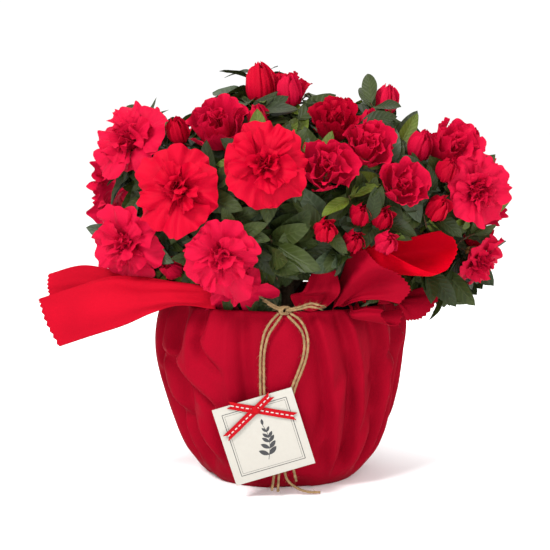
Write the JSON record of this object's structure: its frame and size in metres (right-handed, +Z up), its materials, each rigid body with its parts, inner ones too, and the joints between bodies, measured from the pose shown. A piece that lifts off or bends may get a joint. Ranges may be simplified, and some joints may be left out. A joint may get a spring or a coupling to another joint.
{
  "type": "azalea shrub in a wrapped pot",
  "caption": "Double-flowered azalea shrub with short trunk, boughs and leafy flowering masses, in a nursery pot dressed in a gathered fabric wrap with twine and a card.",
  "frame": {"origin": "middle of the flat underside of the wrapped pot, where it stands", "axes": "+Z up along the pot, +X to the right of the side with the card, -Y towards the side with the card"},
  "size_m": [0.3743, 0.288, 0.3296],
  "materials": {
    "foliage": "leathery green leaves and ruffled crimson petals",
    "bark": "rough brown bark",
    "wrap": "matt non-woven fabric, deep red",
    "pot": "dull dark plastic",
    "soil": "crumbly dark compost",
    "twine": "hairy twisted jute",
    "card": "smooth cream card",
    "ribbon": "ribbed red ribbon with white stitches"
  },
  "bodies": {
    "root": {"wrap_body": "wrap", "pot": "pot", "soil": "soil", "wrap_tail_left_front": "wrap", "wrap_tail_left_back": "wrap", "wrap_tail_right_upper": "wrap", "wrap_tail_right_middle": "wrap", "wrap_tail_right_curl": "wrap", "wrap_tail_right_gather": "wrap", "wrap_tail_right_back": "wrap", "twine_knot": "twine", "twine_left_outer": "twine", "twine_left_inner": "twine", "twine_right_inner": "twine", "twine_right_outer": "twine", "tag_card": "card", "ribbon_bow": "ribbon", "trunk": "bark", "bough_left_front": "bark", "bough_centre_front": "bark", "bough_low_front": "bark", "bough_left_low": "bark", "bough_left_upper": "bark", "bough_top_left": "bark", "bough_top": "bark", "bough_top_right": "bark", "bough_front_upper": "bark", "bough_front_right": "bark", "bough_right_upper": "bark", "bough_right": "bark", "bough_right_low": "bark", "bough_low_right": "bark", "bough_back_left": "bark", "bough_back": "bark", "bough_back_right": "bark", "bough_back_top_left": "bark", "bough_back_top_right": "bark", "bough_back_low_left": "bark", "bough_back_low_right": "bark", "mass_left_front": "foliage", "mass_centre_front": "foliage", "mass_low_front": "foliage", "mass_left_low": "foliage", "mass_left_upper": "foliage", "mass_top_left": "foliage", "mass_top": "foliage", "mass_top_right": "foliage", "mass_front_upper": "foliage", "mass_front_right": "foliage", "mass_right_upper": "foliage", "mass_right": "foliage", "mass_right_low": "foliage", "mass_low_right": "foliage", "mass_back_left": "foliage", "mass_back": "foliage", "mass_back_right": "foliage", "mass_back_top_left": "foliage", "mass_back_top_right": "foliage", "mass_back_low_left": "foliage", "mass_back_low_right": "foliage"}
  },
  "joints": []
}
